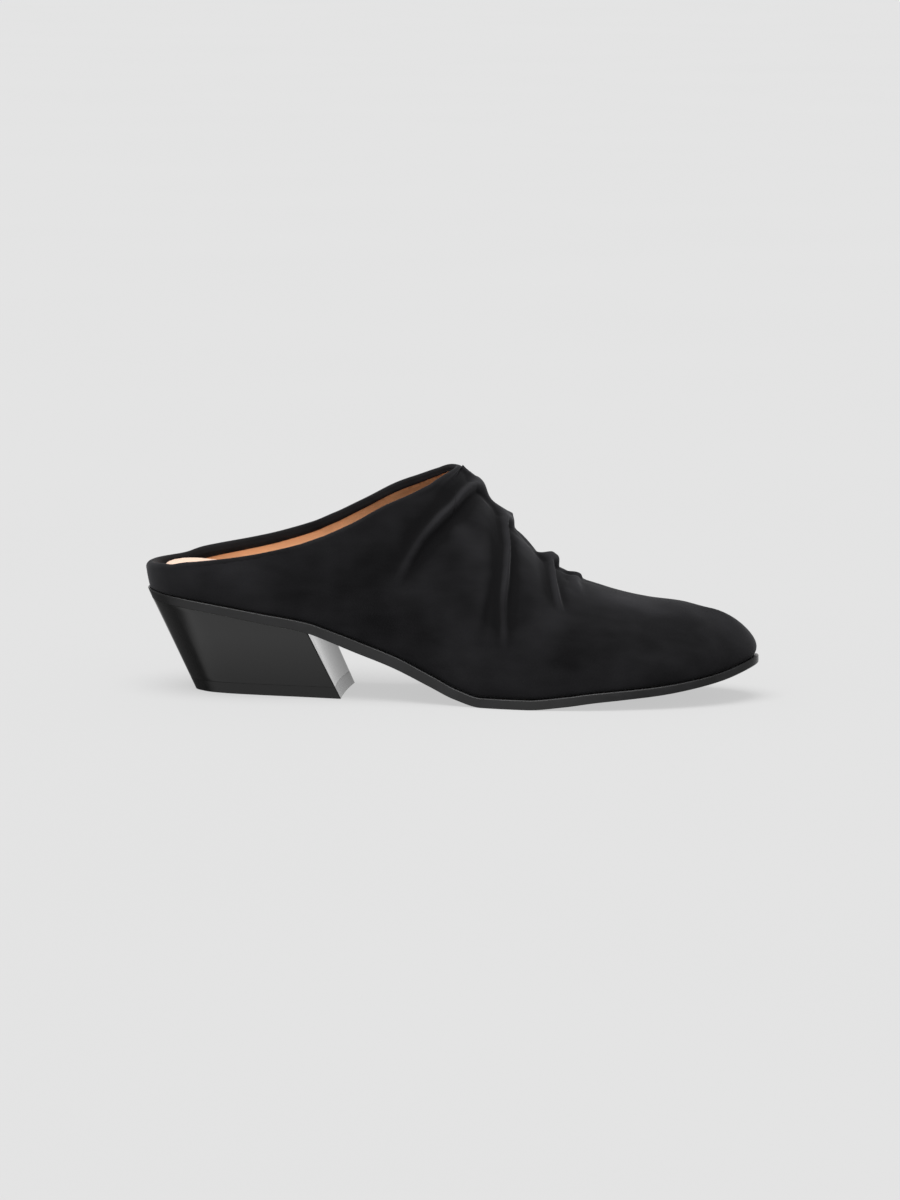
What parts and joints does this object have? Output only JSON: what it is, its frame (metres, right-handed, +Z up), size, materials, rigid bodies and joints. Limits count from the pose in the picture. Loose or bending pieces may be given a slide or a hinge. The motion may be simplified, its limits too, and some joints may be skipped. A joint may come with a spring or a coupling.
{
  "type": "mule shoe",
  "caption": "Heeled mule shoe with a low closed back, a gathered high vamp, an almond toe and a slanted block heel.",
  "frame": {"origin": "centre of the shoe's box, on the floor that it stands on", "axes": "+X from heel to toe, +Y towards the inner side of the foot, +Z up"},
  "size_m": [0.2628, 0.0796, 0.098],
  "materials": {
    "suede": "black suede with a short nap",
    "lining": "smooth tan leather",
    "pad": "soft pale leather",
    "sole": "dark edge-inked leather, matte tread",
    "heel_cover": "black high-gloss lacquer",
    "lift": "hard matte black rubber"
  },
  "bodies": {
    "root": {"upper": "suede", "insole": "lining", "heel_pad": "pad", "outsole": "sole", "heel": "heel_cover", "top_lift": "lift"}
  },
  "joints": []
}
